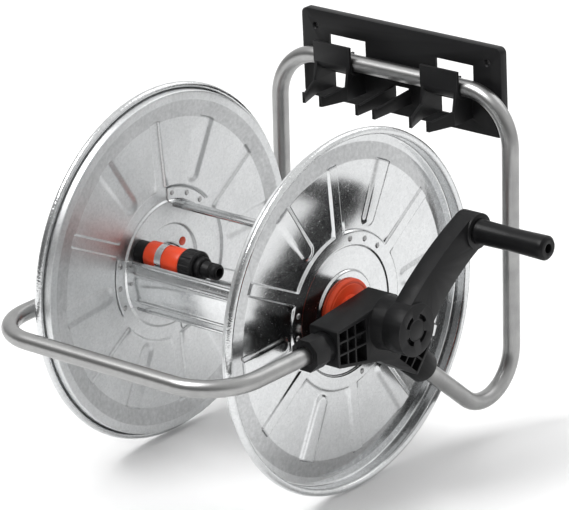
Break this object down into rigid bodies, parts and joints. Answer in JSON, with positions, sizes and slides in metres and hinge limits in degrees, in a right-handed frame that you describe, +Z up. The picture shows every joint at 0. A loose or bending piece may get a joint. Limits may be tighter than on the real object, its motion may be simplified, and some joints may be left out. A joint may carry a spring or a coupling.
{
  "type": "wall mounted hose reel",
  "caption": "Wall mounted garden hose reel: sheet metal drum with crank in a bent tube frame that hangs on a moulded wall plate with hooks and forks.",
  "frame": {"origin": "on the wall, in the middle of the wall plate's width and 49 mm above its lower edge", "axes": "+X along the drum axis to the crank side, +Y into the wall, +Z up"},
  "size_m": [0.5508, 0.5225, 0.4215],
  "materials": {
    "black_plastic": "satin black moulding with a fine grain",
    "zinc_tube": "bright zinc plated tube",
    "galvanised_sheet": "bright galvanised sheet with fine spangle",
    "orange_plastic": "glossy orange moulding",
    "bright_band": "polished",
    "rubber_seal": "matt",
    "zinc_steel": "zinc plated",
    "bearing_plastic": "dark bearing plastic"
  },
  "bodies": {
    "wall_plate": {"wall_plate": "black_plastic"},
    "reel_frame": {"rear_frame_tube": "zinc_tube", "front_frame_tube": "zinc_tube", "crank_bracket": "black_plastic", "inlet_bracket": "black_plastic", "front_clamp_nuts": "black_plastic", "rear_clamp_collars": "black_plastic", "tube_lock_screws": "zinc_steel", "axle_bush": "bearing_plastic", "thrust_washer": "bearing_plastic", "inlet_spigot": "black_plastic", "inlet_nut": "black_plastic", "inlet_o_rings": "rubber_seal"},
    "drum": {"crank_disc": "galvanised_sheet", "inlet_disc": "galvanised_sheet", "stave_front": "galvanised_sheet", "stave_upper": "galvanised_sheet", "stave_rear": "galvanised_sheet", "stave_rivets": "zinc_steel", "crank_hub": "orange_plastic", "inlet_hub": "orange_plastic", "drive_axle": "zinc_steel", "hose_elbow": "black_plastic", "coupler_sleeve": "orange_plastic", "coupler_band": "bright_band", "coupler_ring_nut": "black_plastic", "hose_tail": "black_plastic", "tail_o_ring": "rubber_seal", "crank_arm": "black_plastic", "crank_screw": "zinc_steel", "crank_cap": "black_plastic", "grip_screw": "zinc_steel"},
    "grip": {"crank_grip": "black_plastic"}
  },
  "joints": [
    {"name": "frame_lift", "type": "slide", "parent": "wall_plate", "child": "reel_frame", "axis": [0, 0, 1], "range_m": [0, 0.06]},
    {"name": "drum_spin", "type": "hinge", "parent": "reel_frame", "child": "drum", "pos_m": [0, -0.267, -0.168], "axis": [1, 0, 0], "continuous": true},
    {"name": "grip_spin", "type": "hinge", "parent": "drum", "child": "grip", "pos_m": [0.27, -0.158, -0.092], "axis": [1, 0, 0], "continuous": true}
  ]
}
